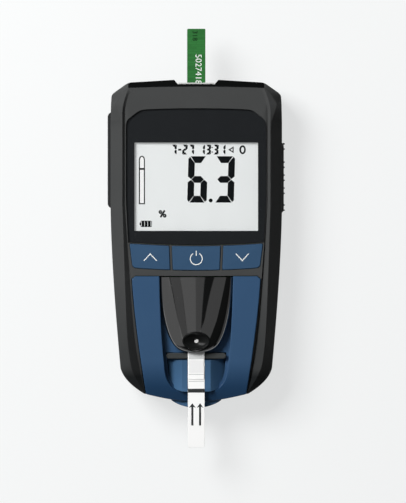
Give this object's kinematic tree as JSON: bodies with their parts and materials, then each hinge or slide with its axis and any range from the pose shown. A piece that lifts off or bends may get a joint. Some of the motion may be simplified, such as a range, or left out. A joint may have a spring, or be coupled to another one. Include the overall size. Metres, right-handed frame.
{
  "type": "handheld blood analyzer",
  "caption": "Handheld blood analyzer with a display window, a row of keys, a glossy optics hood with a sample funnel, a test strip in its holder and a plug-in code chip.",
  "frame": {"origin": "middle of the plan of the whole object, strip and chip included, on the surface that its feet rest on", "axes": "+Z out of the display with the meter lying on its back, +Y from the test strip to the code chip, +X to the right of the display"},
  "size_m": [0.0818, 0.1926, 0.0286],
  "materials": {
    "case_plastic": "fine-grained satin charcoal",
    "rear_plastic": "fine-grained satin dark grey",
    "black_gloss": "polished black",
    "blue_plastic": "satin blue",
    "bar_plastic": "satin dark grey",
    "clear_window": "clear moulded window",
    "display_panel": "pale grey liquid crystal panel",
    "white_plastic": "white",
    "rubber": "matte black",
    "silicone": "grey silicone",
    "board_green": "green solder mask",
    "steel": "nickel plated",
    "gold": "gold plated",
    "cell_wrap": "printed cell sleeve",
    "chip_black": "moulded epoxy"
  },
  "bodies": {
    "meter": {"battery_1": "cell_wrap", "battery_2": "cell_wrap", "battery_3": "cell_wrap", "battery_4": "cell_wrap", "beeper": "chip_black", "board_screw_1": "steel", "board_screw_2": "steel", "board_screw_3": "steel", "board_screw_4": "steel", "case_screw_1": "steel", "case_screw_2": "steel", "case_screw_3": "steel", "case_screw_4": "steel", "chip_socket": "rear_plastic", "contact_comb": "gold", "contact_link_1": "steel", "contact_link_2": "steel", "contact_link_3": "steel", "display_glass": "display_panel", "display_lens": "clear_window", "front_case": "case_plastic", "holder_bar": "bar_plastic", "key_mat": "silicone", "lamp_bar": "white_plastic", "left_grip": "rubber", "lens_gasket": "black_gloss", "light_guide": "white_plastic", "lower_panel": "blue_plastic", "main_board": "board_green", "mat_frame": "rear_plastic", "negative_contact": "steel", "optics_block": "bar_plastic", "optics_hood": "black_gloss", "positive_contact": "steel", "processor": "chip_black", "reading_lens_1": "clear_window", "reading_lens_2": "clear_window", "rear_case": "rear_plastic", "right_grip": "rubber", "rubber_foot_1": "rubber", "rubber_foot_2": "rubber", "rubber_foot_3": "rubber", "rubber_foot_4": "rubber", "sample_funnel": "black_gloss", "strip_holder": "blue_plastic", "switch_dome_1": "steel", "switch_dome_2": "steel", "switch_dome_3": "steel", "zebra_strip": "silicone"},
    "up_key_body": {"up_key": "blue_plastic"},
    "power_key_body": {"power_key": "blue_plastic"},
    "down_key_body": {"down_key": "blue_plastic"},
    "battery_door_body": {"battery_door": "rear_plastic"},
    "test_strip_body": {"test_strip": "white_plastic"},
    "code_chip_body": {"code_chip": "board_green", "chip_memory": "chip_black"}
  },
  "joints": [
    {"name": "up_key_press", "type": "slide", "parent": "meter", "child": "up_key_body", "axis": [0, 0, -1], "range_m": [0, 0.0008], "stiffness_N_per_m": 400, "springref_m": -0.0004},
    {"name": "power_key_press", "type": "slide", "parent": "meter", "child": "power_key_body", "axis": [0, 0, -1], "range_m": [0, 0.0008], "stiffness_N_per_m": 400, "springref_m": -0.0004},
    {"name": "down_key_press", "type": "slide", "parent": "meter", "child": "down_key_body", "axis": [0, 0, -1], "range_m": [0, 0.0008], "stiffness_N_per_m": 400, "springref_m": -0.0004},
    {"name": "battery_door_tilt", "type": "hinge", "parent": "meter", "child": "battery_door_body", "pos_m": [0, -0.0007, 0.0008], "axis": [-1, 0, 0], "range_deg": [0, 24]},
    {"name": "test_strip_out", "type": "slide", "parent": "meter", "child": "test_strip_body", "axis": [0, -1, 0], "range_m": [0, 0.045]},
    {"name": "code_chip_out", "type": "slide", "parent": "meter", "child": "code_chip_body", "axis": [0, 1, 0], "range_m": [0, 0.016]}
  ]
}
